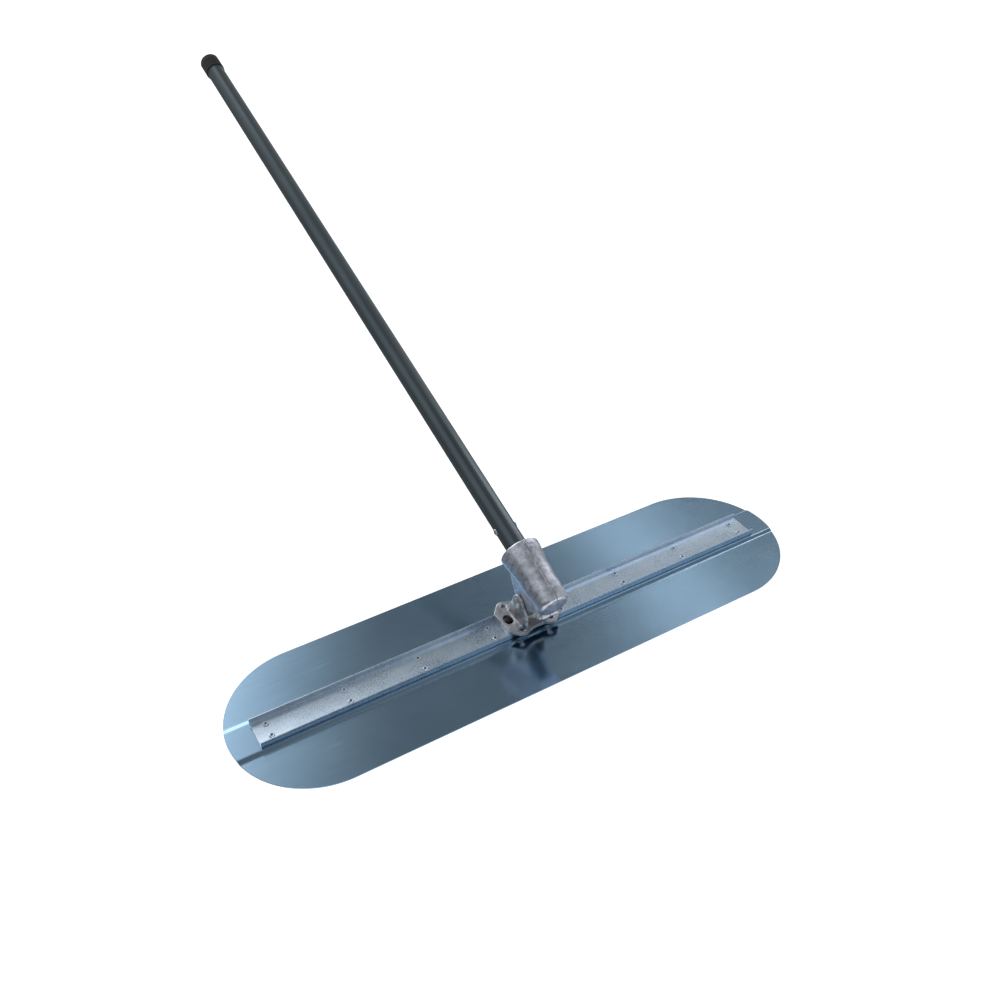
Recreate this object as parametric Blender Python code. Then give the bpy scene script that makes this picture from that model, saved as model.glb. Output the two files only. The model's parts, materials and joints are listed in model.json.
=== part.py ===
"""Round-ended steel finishing trowel on a worm-geared tilt bracket.

Metres, +Z up, +X along the blade, +Y towards the handle.  The blade lies flat on z = 0 and the
handle rises at the back.  The origin is on the flat working face, in front of the raised rib.
"""
import math

import bmesh
import bpy

INCH = 0.0254
GAP = 0.0003  # left between pieces that touch
REACH = 0.04  # how far cutters pass through what they cut

# Blade: a full-round stadium of thin spring steel with a rib pressed along its centre line
BLADE_LENGTH = 36 * INCH
BLADE_WIDTH = 10 * INCH
BLADE_THICKNESS = 0.0012
BLADE_SETBACK = 0.080  # from the origin back to the blade's centre line
END_STEP_DEG = 5
RIB_HEIGHT = 0.0024
RIB_TOP_HALF = 0.0258
RIB_FOOT_HALF = 0.0332
RIB_STEPS = 6

# Channel: galvanised, open upwards, riveted along the top of the rib
CHANNEL_LENGTH = 33 * INCH
CHANNEL_WIDTH = 0.048
CHANNEL_THICKNESS = 0.0018
CHANNEL_HEIGHT = 0.0104
CHANNEL_BEND = 0.0026
CHANNEL_BOTTOM = BLADE_THICKNESS + RIB_HEIGHT + GAP
CHANNEL_FLOOR = CHANNEL_BOTTOM + CHANNEL_THICKNESS
CHANNEL_TOP = CHANNEL_BOTTOM + CHANNEL_HEIGHT

# Rivets: two rows of eight
RIVET_COLUMNS = 8
RIVET_PITCH = 4.5 * INCH
RIVET_ROW = 0.0115
RIVET_SHANK = 0.0020
RIVET_HOLE = 0.0023
RIVET_HEAD = 0.0042
RIVET_HEAD_HEIGHT = 0.0018
RIVET_TAIL = 0.0036
RIVET_TAIL_HEIGHT = 0.0012

# Bracket base: cast foot inside the channel, dog-bone plate above its walls, two upright ears.
# Plate and foot reach a little further to the right of the ears than to the left
BASE_SHIFT = 0.0040
FOOT_HALF_LENGTH = 0.0445
FOOT_HALF_WIDTH = 0.0212
FOOT_BOTTOM = CHANNEL_FLOOR + GAP
PLATE_BOTTOM = CHANNEL_TOP + GAP
PLATE_TOP = 0.0197
PLATE_END_HALF = 0.0205
PLATE_WAIST_X = 0.0080
PLATE_WAIST_Y = 0.0315
CORNER_HOLE_X = 0.0245
CORNER_HOLE_Y = 0.0270
CORNER_HOLE = 0.0040
CORNER_BOSS = 0.0108
EAR_INNER = 0.0139
EAR_OUTER = 0.0180
EAR_BOSS = 0.0125
EAR_FRONT = -0.0330
EAR_FRONT_TOP = 0.0400
EAR_BACK = 0.0190

# Bolts that hold the base down through the channel and the rib
BASE_BOLT_X = 0.0320  # either side of the plate's middle
BASE_BOLT_SHANK = 0.0029
BASE_BOLT_HOLE = 0.0032
BASE_BOLT_ACROSS = 0.0100
BASE_BOLT_HEAD = 0.0042
BASE_WASHER = 0.0060
BASE_WASHER_THICKNESS = 0.0012
POCKET_FLOOR = 0.0135
POCKET_HALF_LENGTH = 0.0098
POCKET_RADIUS = 0.0064
BASE_NUT = 0.0062
BASE_NUT_THICKNESS = 0.0017

# Tilt pivot and worm gearing
PIVOT_Y = -0.010
PIVOT_Z = 0.056
REST_TILT_DEG = 19.5  # handle above the horizontal
MODULE = 0.0025
GEAR_TEETH = 38
GEAR_RADIUS = MODULE * GEAR_TEETH / 2
WORM_RADIUS = 0.0130
WORM_LEAD = math.pi * MODULE
CENTRE_DISTANCE = GEAR_RADIUS + WORM_RADIUS
ADDENDUM = 0.0022
DEDENDUM = 0.0030
TOOTH_FLANK_DEG = 20
TOOTH_WIDTH = 0.0032  # at the pitch line, on gear and worm alike
SECTOR_HALF_WIDTH = 0.0045
SECTOR_TEETH_FRONT = 5
SECTOR_TEETH_BACK = 3
SECTOR_HUB = 0.0090
SECTOR_FOOT = 0.0068
SECTOR_PIN_DROP = 0.0250  # below the pivot
SECTOR_PIN = 0.0030
PIVOT_BOLT = 0.0040
PIVOT_BUSH = 0.0056
PIVOT_HEAD_ACROSS = 0.0130
PIVOT_NUT_SHOWING = 0.0020  # thread past the nut
PIVOT_HEAD = 0.0045
PIVOT_WASHER = 0.0080
PIVOT_WASHER_THICKNESS = 0.0012
RUNNING = 0.0002  # radial clearance of turning fits

# Barrel housing, in two halves split on the middle plane.  Stations run along the handle's axis
# from the point above the pivot: positive towards the handle
HOUSING_LOW = -0.0520
HOUSING_MOUTH = 0.048
HOUSING_STEPS = 48
CHEEK_INNER = 0.0065
CHEEK_OUTER = 0.0135
CHEEK_BOSS = 0.0120
CHEEK_LOW = -0.0480
CHEEK_HIGH = 0.0400
CHEEK_DROP_LOW = 0.0240  # down from the barrel's axis at the lower corner
CHEEK_DROP_HIGH = 0.0370  # and at the upper one
CHEEK_TOP = 0.0180
SLOT_RADIUS = 0.0506
SLOT_HALF = 0.0060
WORM_CHAMBER = 0.0166
WORM_CHAMBER_LOW = -0.0298
WORM_CHAMBER_HIGH = 0.0235
BUSH_SEAT = 0.0118
NUT_CHAMBER_END = -0.0488
THROAT = 0.0147
UPPER_SEAT = 0.0188
UPPER_SEAT_LOW = 0.0285
UPPER_SEAT_HIGH = 0.0445
MOUTH_BORE = 0.0166
FRONT_SCREW = (-0.0450, 0.0310)  # station, and distance up from the pivot
BACK_SCREW = (0.0405, 0.0350)
SCREW_RADIUS = 0.0022
SCREW_HOLE = 0.0025
SCREW_HEAD = 0.0042
SCREW_HEAD_HEIGHT = 0.0030
SCREW_BOSS = 0.0062
SCREW_NUT_ACROSS = 0.0072
SCREW_NUT_THICKNESS = 0.0026
SCREW_POINT = 0.0020  # thread past the nut
BACK_SCREW_SEAT = 0.0105

# Bushes and thrust washer
LOWER_BUSH = (-0.0420, -0.0300)
THRUST_WASHER = (-0.0294, -0.0270)
THRUST_WASHER_RADIUS = 0.0155
UPPER_BUSH = (0.0290, 0.0440)

# Worm shaft and handle
TUBE_RADIUS = 1.25 * INCH / 2
TUBE_WALL = 0.0015
TUBE_LENGTH = 48 * INCH
TUBE_START = 0.029
SHANK_RADIUS = TUBE_RADIUS - TUBE_WALL - GAP
SHANK_START = 0.020
SHANK_END = 0.104
SHANK_EDGE = 0.002
SHAFT_THREAD = 0.0060
SHAFT_END = -0.0485
JOURNAL = 0.0080
JOURNAL_START = -0.0426
WORM_NECK = 0.0100
NECK_START = -0.0266
WORM_FADE = 0.0015  # over which the thread runs out at each end
LOCK_NUT = (-0.0482, -0.0430)
LOCK_NUT_ACROSS = 0.0180
WORM_HALF = 0.016
WORM_TURN_STEPS = 24
HANDLE_RIVET_STATION = 0.088
HANDLE_RIVET = 0.0030
HANDLE_RIVET_HEAD = 0.0050
HANDLE_RIVET_CROWN = 0.0035
HANDLE_RIVET_DIMPLE = 0.0017
CAP_RADIUS = 0.0178
CAP_DEPTH = 0.030
CAP_LIP = 0.0005
CAP_ROUND = 0.003
CAP_CLEARANCE = 0.0005  # between the tube's end and the cap


def remove_everything():
    for obj in list(bpy.data.objects):
        bpy.data.objects.remove(obj, do_unlink=True)


def material(name, colour, roughness, metallic):
    mat = bpy.data.materials.new(name)
    mat.use_nodes = True
    shader = mat.node_tree.nodes["Principled BSDF"]
    shader.inputs["Base Color"].default_value = (*colour, 1.0)
    shader.inputs["Roughness"].default_value = roughness
    shader.inputs["Metallic"].default_value = metallic
    return mat


def empty(name, parent=None, location=(0, 0, 0), rotation=(0, 0, 0)):
    obj = bpy.data.objects.new(name, None)
    bpy.context.scene.collection.objects.link(obj)
    obj.parent = parent
    obj.location = location
    obj.rotation_euler = rotation
    return obj


def finish(name, bm, parent, mat, location=(0, 0, 0), smooth_below_deg=35):
    """Turn a bmesh into a named object with outward normals."""
    bmesh.ops.recalc_face_normals(bm, faces=bm.faces)
    mesh = bpy.data.meshes.new(name)
    bm.to_mesh(mesh)
    bm.free()
    mesh.shade_smooth()
    mesh.set_sharp_from_angle(angle=math.radians(smooth_below_deg))
    obj = bpy.data.objects.new(name, mesh)
    bpy.context.scene.collection.objects.link(obj)
    obj.parent = parent
    obj.location = location
    if mat:
        mesh.materials.append(mat)
    return obj


def arc(cx, cy, radius, start_deg, end_deg, steps):
    """Points on an arc, both ends included."""
    points = []
    for i in range(steps + 1):
        a = math.radians(start_deg + (end_deg - start_deg) * i / steps)
        points.append((cx + radius * math.cos(a), cy + radius * math.sin(a)))
    return points


def hull_2d(points):
    """Convex outline round a set of points, anticlockwise."""
    points = sorted(set(points))

    def chain(run):
        line = []
        for p in run:
            while len(line) > 1 and turn(line[-2], line[-1], p) <= 0:
                line.pop()
            line.append(p)
        return line[:-1]

    def turn(a, b, c):
        return (b[0] - a[0]) * (c[1] - a[1]) - (b[1] - a[1]) * (c[0] - a[0])

    return chain(points) + chain(points[::-1])


def add_prism(bm, outline, low, high, place):
    """Extrude an outline between two heights; place(u, v, h) gives each corner's position."""
    bottom = [bm.verts.new(place(u, v, low)) for u, v in outline]
    top = [bm.verts.new(place(u, v, high)) for u, v in outline]
    bm.faces.new(bottom[::-1])
    bm.faces.new(top)
    for i in range(len(outline)):
        j = (i + 1) % len(outline)
        bm.faces.new((bottom[i], bottom[j], top[j], top[i]))


def upright(u, v, h):
    return (u, v, h)


def sideways(u, v, h):
    return (h, u, v)


def prism(name, outline, low, high, parent, mat, place=upright, location=(0, 0, 0)):
    bm = bmesh.new()
    add_prism(bm, outline, low, high, place)
    return finish(name, bm, parent, mat, location)


def add_turned(bm, profile, steps, closed, place, centre=(0, 0)):
    """Turn a profile of (radius, height) points; a zero radius closes to a point."""
    rings = []
    for radius, height in profile:
        if radius == 0:
            rings.append([bm.verts.new(place(centre[0], centre[1], height))])
            continue
        ring = arc(centre[0], centre[1], radius, 0, 360 * (1 - 1 / steps), steps - 1)
        rings.append([bm.verts.new(place(u, v, height)) for u, v in ring])
    pairs = list(zip(rings, rings[1:]))
    if closed:
        pairs.append((rings[-1], rings[0]))
    for a, b in pairs:
        for i in range(steps):
            j = (i + 1) % steps
            corners = [a[i % len(a)], a[j % len(a)], b[j % len(b)], b[i % len(b)]]
            bm.faces.new(list(dict.fromkeys(corners)))


def turned(name, profile, parent, mat, steps=32, closed=False, place=upright, location=(0, 0, 0)):
    bm = bmesh.new()
    add_turned(bm, profile, steps, closed, place)
    return finish(name, bm, parent, mat, location)


def ring(name, inner, outer, low, high, parent, mat, steps=32, place=upright, location=(0, 0, 0)):
    profile = [(inner, low), (outer, low), (outer, high), (inner, high)]
    return turned(name, profile, parent, mat, steps, True, place, location)


def pin_profile(radius, low, high, chamfer=0.0004):
    return [
        (0, low),
        (radius - chamfer, low),
        (radius, low + chamfer),
        (radius, high - chamfer),
        (radius - chamfer, high),
        (0, high),
    ]


def solid_cylinder(radius, low, high):
    return [(0, low), (radius, low), (radius, high), (0, high)]


def boolean(obj, other, operation):
    """Combine with a guide solid, which is left in the file as a hidden wire object."""
    other.hide_render = True
    other.display_type = "WIRE"
    mod = obj.modifiers.new(f"{operation.lower()} {other.name}", "BOOLEAN")
    mod.operation = operation
    mod.solver = "EXACT"
    mod.object = other


def hexagon(across):
    return arc(0, 0, across / math.sqrt(3), 0, 300, 5)


def hex_nut(name, bore, across_flats, low, high, parent, mat, place=upright, location=(0, 0, 0)):
    nut = prism(name, hexagon(across_flats), low, high, parent, mat, place, location)
    through = solid_cylinder(bore, low - GAP, high + GAP)
    hole = turned(f"{name}_bore", through, parent, None, 20, False, place, location)
    boolean(nut, hole, "DIFFERENCE")


def rivet_places():
    for row in (-RIVET_ROW, RIVET_ROW):
        for column in range(RIVET_COLUMNS):
            yield (column - (RIVET_COLUMNS - 1) / 2) * RIVET_PITCH, row


def base_bolt_places():
    return [(BASE_SHIFT - BASE_BOLT_X, 0.0), (BASE_SHIFT + BASE_BOLT_X, 0.0)]


def hole_cutter(name, places, radius, low, high, parent, steps=16):
    bm = bmesh.new()
    for centre in places:
        add_turned(bm, solid_cylinder(radius, low, high), steps, False, upright, centre)
    return finish(name, bm, parent, None)


def rib_rise(y):
    """Height of the pressed rib at a distance from the centre line."""
    t = (RIB_FOOT_HALF - abs(y)) / (RIB_FOOT_HALF - RIB_TOP_HALF)
    t = min(1.0, max(0.0, t))
    return RIB_HEIGHT * t * t * (3 - 2 * t)


def make_blade(tool, steel):
    radius = BLADE_WIDTH / 2
    rows = {round(radius * math.sin(math.radians(a)), 6) for a in range(-90, 91, END_STEP_DEG)}
    rows = {y for y in rows if not RIB_TOP_HALF < abs(y) < RIB_FOOT_HALF}
    for i in range(RIB_STEPS + 1):
        y = RIB_TOP_HALF + (RIB_FOOT_HALF - RIB_TOP_HALF) * i / RIB_STEPS
        rows |= {round(y, 6), round(-y, 6)}
    bm = bmesh.new()
    sheets = []
    for lift in (0.0, BLADE_THICKNESS):
        sheet = []
        for y in sorted(rows):
            reach = BLADE_LENGTH / 2 - radius + math.sqrt(max(0.0, radius**2 - y**2))
            z = rib_rise(y) + lift
            sheet.append((bm.verts.new((-reach, y, z)), bm.verts.new((reach, y, z))))
        sheets.append(sheet)
    for sheet in sheets:
        for near, far in zip(sheet, sheet[1:]):
            bm.faces.new((near[0], near[1], far[1], far[0]))
    low, high = sheets
    for i in range(len(low) - 1):
        for side in (0, 1):
            bm.faces.new((low[i][side], low[i + 1][side], high[i + 1][side], high[i][side]))
    for i in (0, -1):
        bm.faces.new((low[i][0], low[i][1], high[i][1], high[i][0]))
    blade = finish("blade", bm, tool, steel)
    over = 2 * CHANNEL_BOTTOM
    rivets = hole_cutter("blade_rivet_holes", rivet_places(), RIVET_HOLE, -over, over, tool)
    bolts = hole_cutter("blade_bolt_holes", base_bolt_places(), BASE_BOLT_HOLE, -over, over, tool)
    boolean(blade, rivets, "DIFFERENCE")
    boolean(blade, bolts, "DIFFERENCE")


def make_channel(tool, zinc):
    half = CHANNEL_WIDTH / 2
    inner_half = half - CHANNEL_THICKNESS
    inner_bend = CHANNEL_BEND - CHANNEL_THICKNESS
    bend = CHANNEL_BOTTOM + CHANNEL_BEND
    outline = [(-half, CHANNEL_TOP)]
    outline += arc(-half + CHANNEL_BEND, bend, CHANNEL_BEND, 180, 270, 4)
    outline += arc(half - CHANNEL_BEND, bend, CHANNEL_BEND, 270, 360, 4)
    outline += [(half, CHANNEL_TOP), (inner_half, CHANNEL_TOP)]
    outline += arc(half - CHANNEL_BEND, bend, inner_bend, 360, 270, 4)
    outline += arc(-half + CHANNEL_BEND, bend, inner_bend, 270, 180, 4)
    outline += [(-inner_half, CHANNEL_TOP)]
    reach = CHANNEL_LENGTH / 2
    channel = prism("mounting_channel", outline, -reach, reach, tool, zinc, sideways)
    over = 2 * CHANNEL_TOP
    rivets = hole_cutter("channel_rivet_holes", rivet_places(), RIVET_HOLE, 0, over, tool)
    bolts = hole_cutter("channel_bolt_holes", base_bolt_places(), BASE_BOLT_HOLE, 0, over, tool)
    boolean(channel, rivets, "DIFFERENCE")
    boolean(channel, bolts, "DIFFERENCE")


def make_rivets(tool, zinc):
    tail_top = RIB_HEIGHT - GAP
    head_bottom = CHANNEL_FLOOR + GAP
    profile = [(0, tail_top - RIVET_TAIL_HEIGHT), (RIVET_TAIL, tail_top - RIVET_TAIL_HEIGHT)]
    profile += [(RIVET_TAIL, tail_top), (RIVET_SHANK, tail_top), (RIVET_SHANK, head_bottom)]
    for across_share, height_share in ((1, 0), (0.86, 0.55), (0.50, 0.90), (0, 1)):
        height = head_bottom + RIVET_HEAD_HEIGHT * height_share
        profile.append((RIVET_HEAD * across_share, height))
    for number, (x, y) in enumerate(rivet_places(), start=1):
        turned(f"rivet_{number:02d}", profile, tool, zinc, 12, False, upright, (x, y, 0))


def plate_outline():
    """Dog-bone outline: square ends, a round boss at each corner hole, and a waist."""
    quarter = [(FOOT_HALF_LENGTH, PLATE_END_HALF)]
    quarter += arc(CORNER_HOLE_X, CORNER_HOLE_Y, CORNER_BOSS, 48, 132, 6)
    quarter += [(PLATE_WAIST_X, PLATE_WAIST_Y)]
    left = [(-x, y) for x, y in quarter[::-1]]
    back = quarter + left
    front = [(-x, -y) for x, y in back]
    return [(x + BASE_SHIFT, y) for x, y in back + front]


def pivot_pins():
    """Radius and height above the blade of the two holes through both ears."""
    return [(PIVOT_BOLT, PIVOT_Z), (SECTOR_PIN, PIVOT_Z - SECTOR_PIN_DROP)]


def make_base(tool, casting):
    base = prism("bracket_base", plate_outline(), PLATE_BOTTOM, PLATE_TOP, tool, casting)
    half_x, half_y = FOOT_HALF_LENGTH - GAP, FOOT_HALF_WIDTH
    foot = [(-half_x, -half_y), (half_x, -half_y), (half_x, half_y), (-half_x, half_y)]
    foot = [(x + BASE_SHIFT, y) for x, y in foot]
    middle = (PLATE_BOTTOM + PLATE_TOP) / 2
    boolean(base, prism("base_foot", foot, FOOT_BOTTOM, middle, tool, None), "UNION")
    ear = arc(PIVOT_Y, PIVOT_Z, EAR_BOSS, 0, 345, 23)
    ear += [(EAR_FRONT, middle), (EAR_FRONT, EAR_FRONT_TOP), (EAR_BACK, middle)]
    ears = bmesh.new()
    for side in (-1, 1):
        add_prism(ears, hull_2d(ear), side * EAR_INNER, side * EAR_OUTER, sideways)
    boolean(base, finish("base_ears", ears, tool, None), "UNION")

    over = 2 * PLATE_TOP
    corners = []
    for x in (BASE_SHIFT - CORNER_HOLE_X, BASE_SHIFT + CORNER_HOLE_X):
        corners += [(x, -CORNER_HOLE_Y), (x, CORNER_HOLE_Y)]
    boolean(base, hole_cutter("corner_holes", corners, CORNER_HOLE, 0, over, tool, 20), "DIFFERENCE")
    bolts = hole_cutter("foot_bolt_holes", base_bolt_places(), BASE_BOLT_HOLE, 0, over, tool)
    boolean(base, bolts, "DIFFERENCE")
    pockets = bmesh.new()
    straight = POCKET_HALF_LENGTH - POCKET_RADIUS
    for x, _ in base_bolt_places():
        outline = arc(x, straight, POCKET_RADIUS, 0, 180, 10)
        outline += arc(x, -straight, POCKET_RADIUS, 180, 360, 10)
        add_prism(pockets, outline, POCKET_FLOOR, over, upright)
    boolean(base, finish("bolt_pockets", pockets, tool, None), "DIFFERENCE")
    cross = bmesh.new()
    for radius, height in pivot_pins():
        through = solid_cylinder(radius + RUNNING, -REACH, REACH)
        add_turned(cross, through, 24, False, sideways, (PIVOT_Y, height))
    boolean(base, finish("ear_holes", cross, tool, None), "DIFFERENCE")


def make_base_bolts(tool, dark_steel):
    washer_low = POCKET_FLOOR + GAP
    head_low = washer_low + BASE_WASHER_THICKNESS + GAP
    nut_low = RIB_HEIGHT - GAP - BASE_NUT_THICKNESS
    for number, (x, y) in enumerate(base_bolt_places(), start=1):
        place = (x, y, 0)
        ring(f"base_washer_{number}", BASE_BOLT_HOLE, BASE_WASHER, washer_low,
             washer_low + BASE_WASHER_THICKNESS, tool, dark_steel, 24, upright, place)
        head_top = head_low + BASE_BOLT_HEAD
        shank = pin_profile(BASE_BOLT_SHANK, nut_low, (head_low + head_top) / 2)
        bolt = turned(f"base_bolt_{number}", shank, tool, dark_steel, 20, False, upright, place)
        head = prism(f"base_bolt_head_{number}", hexagon(BASE_BOLT_ACROSS), head_low, head_top,
                     tool, None, upright, place)
        boolean(bolt, head, "UNION")
        ring(f"base_nut_{number}", BASE_BOLT_SHANK + GAP, BASE_NUT, nut_low,
             nut_low + BASE_NUT_THICKNESS, tool, dark_steel, 24, upright, place)


def tooth_half_width(height):
    """Half width of a straight-sided rack tooth at a height above the pitch line."""
    return TOOTH_WIDTH / 2 - height * math.tan(math.radians(TOOTH_FLANK_DEG))


def sector_outline():
    """Toothed segment about the pivot, drawn with its contact point straight up."""
    pitch = 360 / GEAR_TEETH
    root = GEAR_RADIUS - DEDENDUM
    tip = GEAR_RADIUS + ADDENDUM
    points = []
    for tooth in range(-SECTOR_TEETH_BACK, SECTOR_TEETH_FRONT + 1):
        middle = 90 + tooth * pitch
        for side, radius in ((-1, root), (-1, tip), (1, tip), (1, root)):
            half = tooth_half_width(radius - GEAR_RADIUS)
            turn = math.radians(middle) + side * half / radius
            points.append((radius * math.cos(turn), radius * math.sin(turn)))
    start = 90 + (SECTOR_TEETH_FRONT + 0.55) * pitch
    end = 90 - (SECTOR_TEETH_BACK + 0.55) * pitch + 360
    points.append(arc(0, 0, root, start, start, 1)[0])
    points.append(arc(0, 0, root - 0.010, start, start, 1)[0])
    points += arc(0, 0, SECTOR_HUB, start + 25, end - 25, 10)
    points.append(arc(0, 0, root - 0.010, end, end, 1)[0])
    points.append(arc(0, 0, root, end, end, 1)[0])
    return points


def make_sector(tilt, tool, steel):
    half = SECTOR_HALF_WIDTH
    sector = prism("gear_sector", sector_outline(), -half, half, tilt, steel, sideways)
    pin_z = PIVOT_Z - SECTOR_PIN_DROP
    tail = arc(PIVOT_Y, PIVOT_Z, SECTOR_HUB, 0, 345, 23)
    tail += arc(PIVOT_Y, pin_z, SECTOR_FOOT, 7.5, 352.5, 23)
    boolean(sector, prism("sector_tail", hull_2d(tail), -half, half, tool, None, sideways), "UNION")
    holes = bmesh.new()
    for radius, height in ((PIVOT_BUSH + GAP, PIVOT_Z), (SECTOR_PIN + RUNNING, pin_z)):
        add_turned(holes, solid_cylinder(radius, -REACH, REACH), 24, False, sideways, (PIVOT_Y, height))
    boolean(sector, finish("sector_holes", holes, tool, None), "DIFFERENCE")
    turned("sector_pin", pin_profile(SECTOR_PIN, -EAR_OUTER, EAR_OUTER), tool, steel, 16, False,
           sideways, (0, PIVOT_Y, pin_z))


def make_pivot(tool, steel):
    place = (0, PIVOT_Y, PIVOT_Z)
    washer_in = EAR_OUTER + GAP
    washer_out = washer_in + PIVOT_WASHER_THICKNESS
    head_in = washer_out + GAP
    nut_out = head_in + PIVOT_HEAD
    ring("pivot_washer_left", PIVOT_BOLT + RUNNING, PIVOT_WASHER, -washer_out, -washer_in, tool,
         steel, 24, sideways, place)
    ring("pivot_washer_right", PIVOT_BOLT + RUNNING, PIVOT_WASHER, washer_in, washer_out, tool,
         steel, 24, sideways, place)
    shank = pin_profile(PIVOT_BOLT, -head_in - PIVOT_HEAD / 2, nut_out + PIVOT_NUT_SHOWING)
    bolt = turned("pivot_bolt", shank, tool, steel, 24, False, sideways, place)
    head = prism("pivot_bolt_head", hexagon(PIVOT_HEAD_ACROSS), -head_in - PIVOT_HEAD, -head_in, tool,
                 None, sideways, place)
    boolean(bolt, head, "UNION")
    hex_nut("pivot_nut", PIVOT_BOLT + RUNNING, PIVOT_HEAD_ACROSS, head_in, nut_out, tool, steel,
            sideways, place)
    ring("pivot_bush", PIVOT_BOLT + RUNNING, PIVOT_BUSH, -EAR_INNER + GAP, EAR_INNER - GAP, tool,
         steel, 24, sideways, place)


def barrel_profile():
    """Outside of the cast barrel: a slim taper, then a swelling collar at the mouth."""
    return [
        (0, HOUSING_LOW),
        (0.0182, HOUSING_LOW),
        (0.0208, HOUSING_LOW + 0.0008),
        (0.0226, HOUSING_LOW + 0.0026),
        (0.0237, HOUSING_LOW + 0.0056),
        (0.0245, -0.036),
        (0.0254, -0.005),
        (0.0262, 0.012),
        (0.0274, 0.022),
        (0.0289, 0.032),
        (0.0298, 0.040),
        (0.0300, HOUSING_MOUTH - 0.0020),
        (0.0292, HOUSING_MOUTH - 0.0005),
        (0.0280, HOUSING_MOUTH),
        (0, HOUSING_MOUTH),
    ]


def bore_profile():
    """Inside of the barrel, from the lock nut's chamber up to the mouth."""
    return [
        (0, NUT_CHAMBER_END),
        (BUSH_SEAT, NUT_CHAMBER_END),
        (BUSH_SEAT, WORM_CHAMBER_LOW),
        (WORM_CHAMBER, WORM_CHAMBER_LOW),
        (WORM_CHAMBER, WORM_CHAMBER_HIGH),
        (THROAT, WORM_CHAMBER_HIGH),
        (THROAT, UPPER_SEAT_LOW),
        (UPPER_SEAT, UPPER_SEAT_LOW),
        (UPPER_SEAT, UPPER_SEAT_HIGH),
        (MOUTH_BORE, UPPER_SEAT_HIGH),
        (MOUTH_BORE, 2 * HOUSING_MOUTH),
        (0, 2 * HOUSING_MOUTH),
    ]


def cheek_outline():
    """Side plate between barrel and pivot: (distance below the barrel's axis, station)."""
    points = arc(CENTRE_DISTANCE, 0, CHEEK_BOSS, 0, 345, 23)
    points += [(CHEEK_DROP_HIGH, CHEEK_HIGH), (CHEEK_TOP, CHEEK_HIGH)]
    points += [(CHEEK_DROP_LOW, CHEEK_LOW), (CHEEK_TOP, CHEEK_LOW)]
    return hull_2d(points)


def across(u, v, h):
    return (h, u, v)


def make_housing(side, axis, casting):
    """One half of the barrel with its side plate; side is -1 for left and 1 for right."""
    name = "housing_left" if side < 0 else "housing_right"
    bm = bmesh.new()
    add_turned(bm, barrel_profile(), HOUSING_STEPS, False, upright)
    half = finish(name, bm, axis, casting)
    split = side * GAP / 2
    room = 2 * HOUSING_MOUTH
    square = [(-room, -room), (room, -room), (room, room), (-room, room)]
    boolean(half, prism(f"{name}_side", square, split, side * REACH, axis, None, across), "INTERSECT")
    outline = cheek_outline()
    cheek = prism(f"{name}_cheek", outline, side * CHEEK_INNER, side * CHEEK_OUTER, axis, None, across)
    boolean(half, cheek, "UNION")
    centre = (0, CENTRE_DISTANCE - FRONT_SCREW[1], FRONT_SCREW[0])
    solid = solid_cylinder(SCREW_BOSS, split, side * CHEEK_OUTER)
    boss = turned(f"{name}_screw_boss", solid, axis, None, 20, False, sideways, centre)
    boolean(half, boss, "UNION")
    bore = turned(f"{name}_bore", bore_profile(), axis, None, 40)
    boolean(half, bore, "DIFFERENCE")
    pivot = (CENTRE_DISTANCE, 0)
    cutters = [("gear_slot", SLOT_RADIUS, SLOT_HALF, 64, pivot)]
    cutters.append(("pivot_hole", PIVOT_BUSH + RUNNING, REACH, 24, pivot))
    for word, (station, up) in (("front_hole", FRONT_SCREW), ("back_hole", BACK_SCREW)):
        cutters.append((word, SCREW_HOLE, REACH, 16, (CENTRE_DISTANCE - up, station)))
    for word, radius, reach, steps, (drop, station) in cutters:
        cutter = turned(f"{name}_{word}", solid_cylinder(radius, -reach, reach), axis, None, steps,
                        False, sideways, (0, drop, station))
        boolean(half, cutter, "DIFFERENCE")
    seats = bmesh.new()
    centre = (CENTRE_DISTANCE - BACK_SCREW[1], BACK_SCREW[0])
    seat = solid_cylinder(SCREW_HEAD + GAP, side * screw_seat(BACK_SCREW), side * REACH)
    add_turned(seats, seat, 20, False, across, centre)
    boolean(half, finish(f"{name}_screw_seats", seats, axis, None), "DIFFERENCE")


def screw_seat(screw):
    """How far from the middle plane a housing screw's head seats."""
    return CHEEK_OUTER if screw == FRONT_SCREW else BACK_SCREW_SEAT


def make_housing_screws(axis, steel):
    for word, screw in (("front", FRONT_SCREW), ("back", BACK_SCREW)):
        station, up = screw
        place = (0, CENTRE_DISTANCE - up, station)
        seat = screw_seat(screw) + GAP
        nut_top = seat + SCREW_NUT_THICKNESS
        top = seat + SCREW_HEAD_HEIGHT
        edge = SCREW_HEAD_HEIGHT / 5
        point = -seat - SCREW_POINT
        profile = [(0, point), (SCREW_RADIUS, point), (SCREW_RADIUS, seat), (SCREW_HEAD, seat)]
        profile += [(SCREW_HEAD, top - edge), (SCREW_HEAD - edge, top), (0, top)]
        bm = bmesh.new()
        add_turned(bm, [(radius, -height) for radius, height in profile], 20, False, sideways)
        finish(f"housing_screw_{word}", bm, axis, steel, place)
        hex_nut(f"housing_nut_{word}", SCREW_RADIUS + RUNNING, SCREW_NUT_ACROSS, seat, nut_top,
                axis, steel, sideways, place)


def make_bushes(axis, bronze, steel):
    bore = JOURNAL + RUNNING
    ring("lower_bush", bore, BUSH_SEAT - GAP, *LOWER_BUSH, axis, bronze)
    ring("thrust_washer", bore, THRUST_WASHER_RADIUS, *THRUST_WASHER, axis, steel)
    ring("upper_bush", TUBE_RADIUS + RUNNING, UPPER_SEAT - GAP, *UPPER_BUSH, axis, bronze, 40)


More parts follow.
